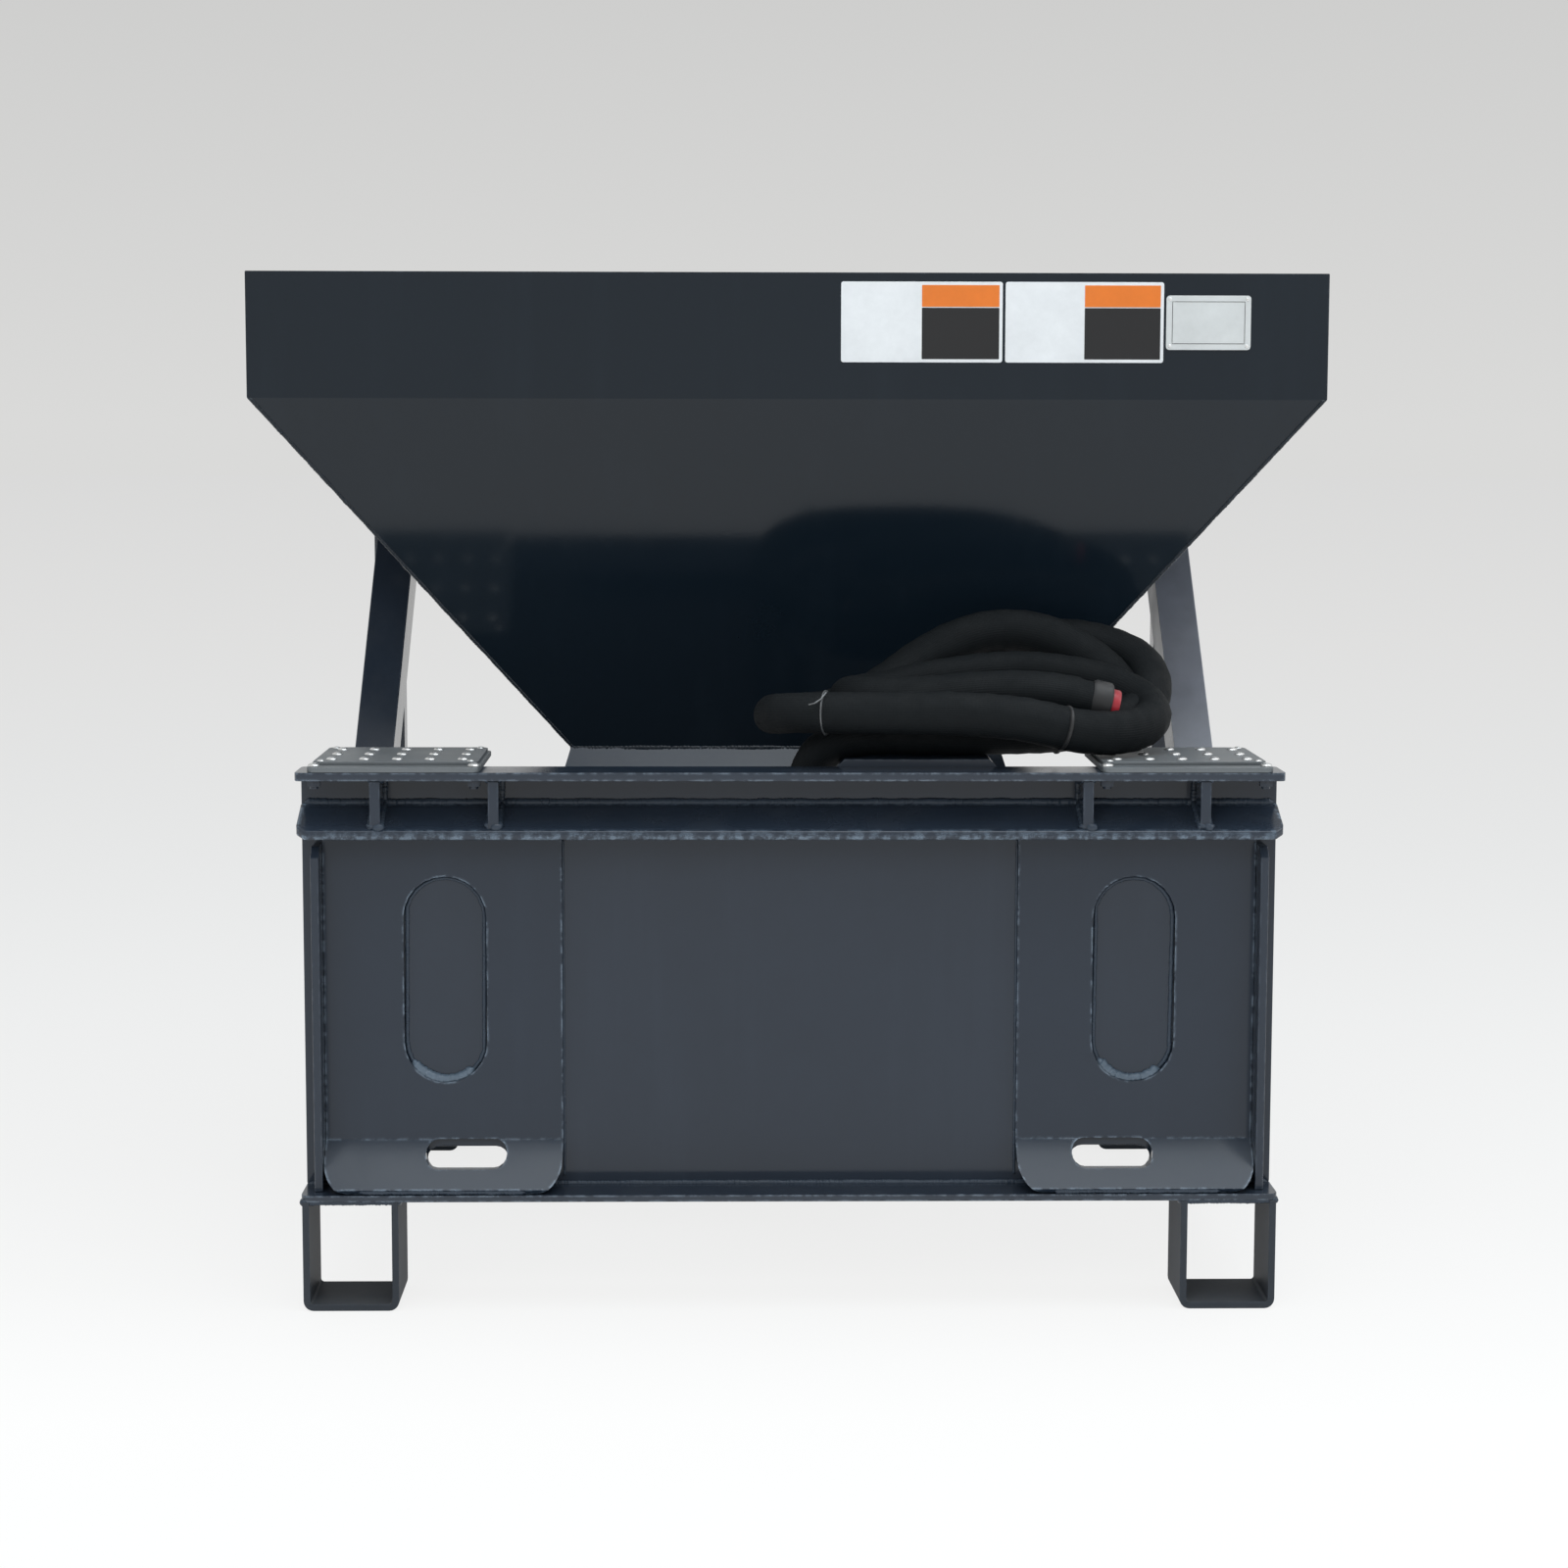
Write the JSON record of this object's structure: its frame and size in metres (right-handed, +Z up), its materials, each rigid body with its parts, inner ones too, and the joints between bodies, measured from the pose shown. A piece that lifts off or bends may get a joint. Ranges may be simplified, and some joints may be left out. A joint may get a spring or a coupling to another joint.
{
  "type": "skid-steer hopper spreader",
  "caption": "Loader-mounted hopper spreader: quick-attach plate with steps, inverted-pyramid hopper, slide gate, hydraulic spinner with hood and deflector, and a coiled sleeved hose.",
  "frame": {"origin": "centre of the footprint, on the floor under the feet", "axes": "+X along the attach plate, to the right as seen from the attach side; +Y away from the carrier machine; +Z up"},
  "size_m": [1.327, 1, 1.238],
  "materials": {
    "slate_paint": "glossy dark slate-blue paint",
    "step_steel": "dull grey galvanised steel",
    "zinc_plate": "bright zinc",
    "cast_iron": "black painted iron and steel",
    "black_rubber": "black rubber",
    "woven_sleeve": "woven black nylon",
    "coloured_plastic": "coloured plastic, red on the hose cap"
  },
  "bodies": {
    "frame": {"base_plate": "slate_paint", "back_plate": "slate_paint", "lip_plate_left": "slate_paint", "lip_plate_right": "slate_paint", "hook_plate": "slate_paint", "top_flange": "slate_paint", "hook_rib_1": "slate_paint", "hook_rib_2": "slate_paint", "hook_rib_3": "slate_paint", "hook_rib_4": "slate_paint", "side_gusset_left": "slate_paint", "side_gusset_right": "slate_paint", "front_foot_left": "slate_paint", "front_foot_right": "slate_paint", "rear_foot_left": "slate_paint", "rear_foot_right": "slate_paint", "side_rail_left": "slate_paint", "side_rail_right": "slate_paint", "rear_crossmember": "slate_paint", "brace_left": "slate_paint", "brace_right": "slate_paint", "rear_post_left": "slate_paint", "rear_post_right": "slate_paint", "hopper_front_panel": "slate_paint", "hopper_rear_panel": "slate_paint", "hopper_side_panel_left": "slate_paint", "hopper_side_panel_right": "slate_paint", "feed_floor": "slate_paint", "gate_guide_left": "slate_paint", "gate_guide_right": "slate_paint", "spinner_hood": "slate_paint", "motor_beam": "slate_paint", "hose_rest": "slate_paint", "step_plate_left": "step_steel", "step_plate_right": "step_steel", "step_grip_left": "step_steel", "step_grip_right": "step_steel", "step_bolt_left_1": "zinc_plate", "step_bolt_left_2": "zinc_plate", "step_bolt_right_1": "zinc_plate", "step_bolt_right_2": "zinc_plate", "rating_plate": "zinc_plate", "deflector_rod": "zinc_plate", "hydraulic_motor": "cast_iron", "supply_hose": "black_rubber", "return_hose": "black_rubber", "hose_clamp": "black_rubber", "hose_lead": "woven_sleeve", "hose_coil": "woven_sleeve", "hose_end_cap": "coloured_plastic"},
    "gate": {"gate_plate": "step_steel"},
    "gate_lock": {"gate_lock_knob": "black_rubber"},
    "spinner": {"drive_shaft": "cast_iron", "spinner_disc": "step_steel", "spinner_vane_1": "step_steel", "spinner_vane_2": "step_steel", "spinner_vane_3": "step_steel", "spinner_vane_4": "step_steel", "agitator": "step_steel"},
    "deflector_flap": {"deflector": "slate_paint"}
  },
  "joints": [
    {"name": "gate_slide", "type": "slide", "parent": "frame", "child": "gate", "axis": [0, 1, 0], "range_m": [0, 0.16]},
    {"name": "gate_lock_turn", "type": "hinge", "parent": "frame", "child": "gate_lock", "pos_m": [0.17275, 0.292, 0.6172], "axis": [0, 0, 1], "range_deg": [0, 270]},
    {"name": "spinner_turn", "type": "hinge", "parent": "frame", "child": "spinner", "pos_m": [0, 0.11, 0.385], "axis": [0, 0, 1], "continuous": true},
    {"name": "deflector_tilt", "type": "hinge", "parent": "frame", "child": "deflector_flap", "pos_m": [0, 0.34, 0.549], "axis": [1, 0, 0], "range_deg": [0, 60]}
  ]
}
